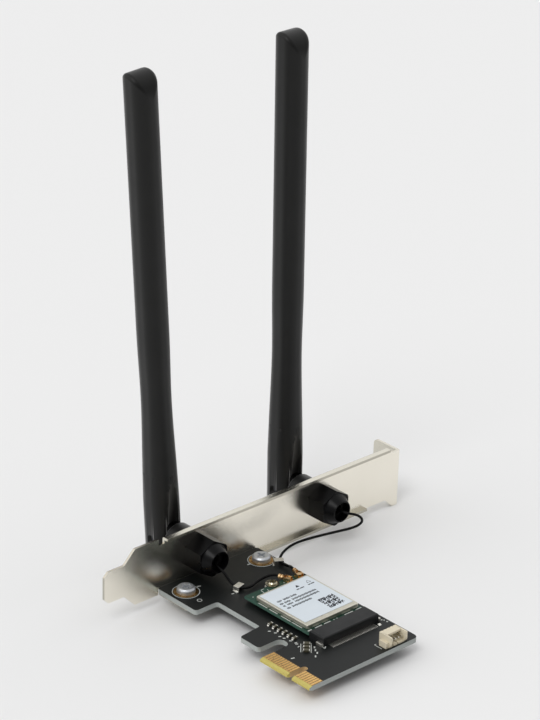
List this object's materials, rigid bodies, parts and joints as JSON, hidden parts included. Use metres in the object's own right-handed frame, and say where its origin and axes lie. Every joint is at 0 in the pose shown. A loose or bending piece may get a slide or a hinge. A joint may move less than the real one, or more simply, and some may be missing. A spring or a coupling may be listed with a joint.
{
  "type": "pcie wifi card",
  "caption": "Plug-in wireless network card: short-edge circuit board on a full-height folded metal bracket, socketed radio module, and folding, swivelling paddle antennas.",
  "frame": {"origin": "under the middle of the whole card, on the surface that it lies on", "axes": "+X along the bracket from its tongue to its screw tab, +Y out of the computer case through the bracket, +Z from the board's solder side to its parts side, along the upright antennas"},
  "size_m": [0.12, 0.091, 0.1597],
  "materials": {
    "nickel_sheet": "bright nickel plated sheet",
    "black_laminate": "black solder mask",
    "gold_plating": "gold plated",
    "zinc_screw": "bright zinc",
    "socket_plastic": "moulded",
    "tinned_metal": "tinned",
    "module_laminate": "green solder mask",
    "shield_metal": "tin plated",
    "label_paper": "coated paper",
    "plug_metal": "gold plated",
    "lead_jacket": "smooth jacket",
    "header_plastic": "moulded nylon",
    "chip_ceramic": "fired ceramic",
    "nut_plastic": "moulded",
    "antenna_plastic": "satin moulded",
    "hinge_steel": "blackened",
    "element_brass": "bare"
  },
  "bodies": {
    "card": {"bracket": "nickel_sheet", "circuit_board": "black_laminate", "edge_contacts": "gold_plating", "screw_pads": "gold_plating", "board_screws": "zinc_screw", "module_board": "module_laminate", "module_shield": "shield_metal", "module_label": "label_paper", "module_socket": "socket_plastic", "socket_contacts": "tinned_metal", "socket_holddowns": "tinned_metal", "module_standoff": "tinned_metal", "module_screw": "zinc_screw", "module_jacks": "gold_plating", "coax_plug_left": "plug_metal", "coax_plug_right": "plug_metal", "coax_lead_left": "lead_jacket", "coax_lead_right": "lead_jacket", "lead_clip_left": "tinned_metal", "lead_clip_right": "tinned_metal", "header_housing": "header_plastic", "header_pins": "tinned_metal", "chip_bodies": "chip_ceramic", "chip_terminals": "tinned_metal", "gland_nut_left": "nut_plastic", "gland_nut_right": "nut_plastic"},
    "left_elbow": {"antenna_elbow_left": "antenna_plastic"},
    "right_elbow": {"antenna_elbow_right": "antenna_plastic"},
    "left_antenna": {"antenna_shell_left": "antenna_plastic", "antenna_element_left": "element_brass", "hinge_pin_left": "hinge_steel"},
    "right_antenna": {"antenna_shell_right": "antenna_plastic", "antenna_element_right": "element_brass", "hinge_pin_right": "hinge_steel"}
  },
  "joints": [
    {"name": "left_swivel", "type": "hinge", "parent": "card", "child": "left_elbow", "pos_m": [-0.02401, 0.02351, 0.01246], "axis": [0, 1, 0], "range_deg": [-86, 10]},
    {"name": "left_fold", "type": "hinge", "parent": "left_elbow", "child": "left_antenna", "pos_m": [-0.02393, 0.03991, 0.01126], "axis": [-0.9976, 0, -0.0698], "range_deg": [0, 90]},
    {"name": "right_swivel", "type": "hinge", "parent": "card", "child": "right_elbow", "pos_m": [0.02574, 0.02351, 0.01246], "axis": [0, 1, 0], "range_deg": [-5, 91]},
    {"name": "right_fold", "type": "hinge", "parent": "right_elbow", "child": "right_antenna", "pos_m": [0.02576, 0.03991, 0.01126], "axis": [-0.9998, 0, -0.0175], "range_deg": [0, 90]}
  ]
}
